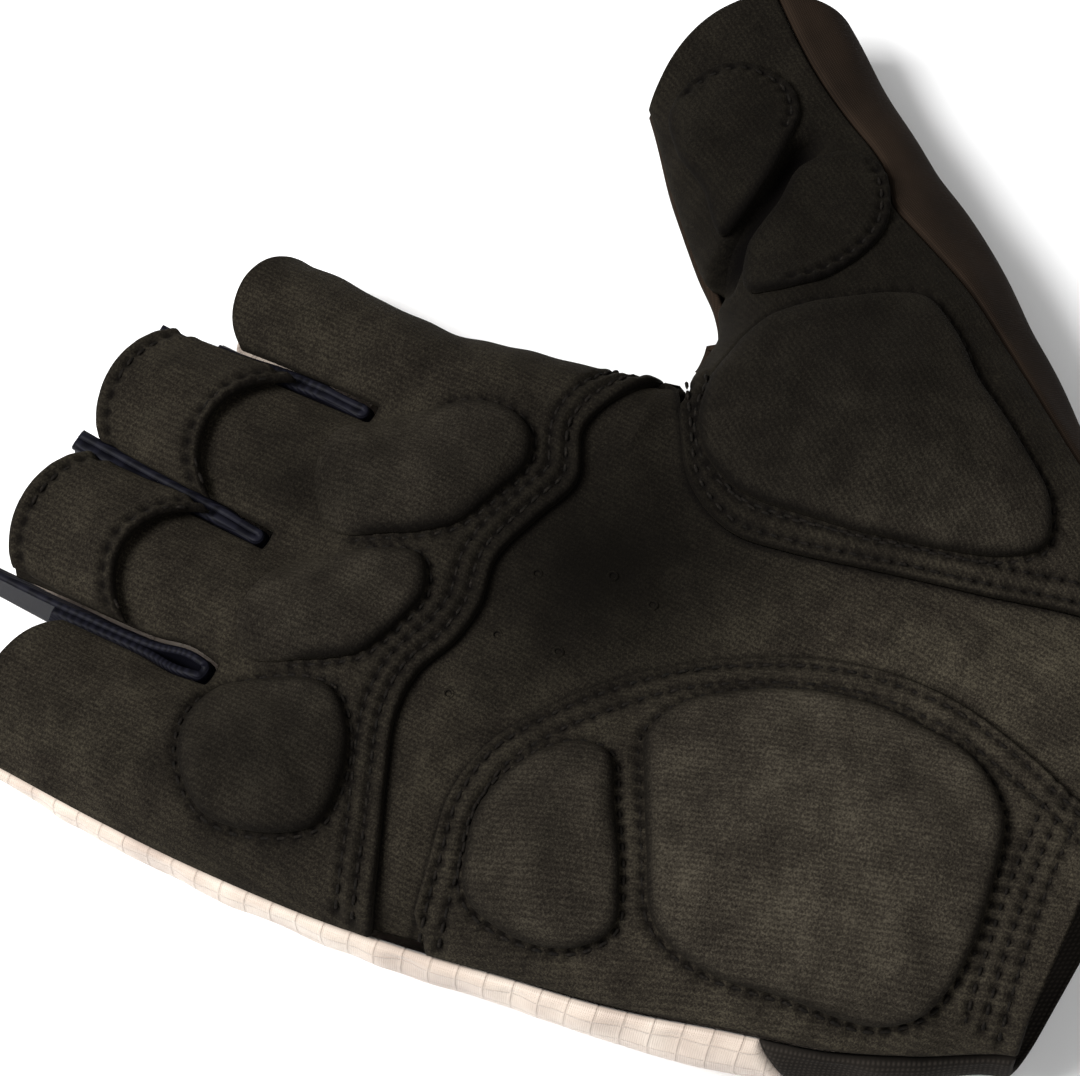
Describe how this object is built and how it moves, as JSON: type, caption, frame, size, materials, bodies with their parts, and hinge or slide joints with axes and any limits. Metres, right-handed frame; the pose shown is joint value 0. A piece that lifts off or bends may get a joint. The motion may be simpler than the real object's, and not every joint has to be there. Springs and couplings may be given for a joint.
{
  "type": "cycling glove",
  "caption": "Fingerless cycling glove for the right hand, lying palm up, with padded suede palm and light back.",
  "frame": {"origin": "under the middle of the hand, on the flat of the back that the glove rests on", "axes": "+X towards the thumb, +Y towards the fingers, +Z out of the palm"},
  "size_m": [0.1681, 0.163, 0.0333],
  "materials": {
    "suede": "brushed synthetic suede, matt",
    "padded_suede": "brushed synthetic suede over foam, matt",
    "satin": "dark navy satin weave",
    "ripstop": "off-white ripstop weave",
    "stretch_knit": "dark brown stretch knit",
    "wrist_knit": "black stretch knit, matt"
  },
  "bodies": {
    "root": {"finger_panel": "suede", "palm_panel": "suede", "heel_panel": "suede", "thumb_panel": "suede", "pull_tab_ring": "suede", "pull_tab_middle": "suede", "thumb_crotch_patch": "suede", "thumb_tip_patch": "suede", "pad_knuckle_index": "padded_suede", "pad_knuckle_ring": "padded_suede", "pad_knuckle_little": "padded_suede", "pad_thumb_base": "padded_suede", "pad_heel_small": "padded_suede", "pad_heel_large": "padded_suede", "fourchette_ring_little": "satin", "fourchette_middle_ring": "satin", "fourchette_index_middle": "satin", "back_panel": "ripstop", "thumb_back": "stretch_knit", "cuff_back": "wrist_knit"}
  },
  "joints": []
}
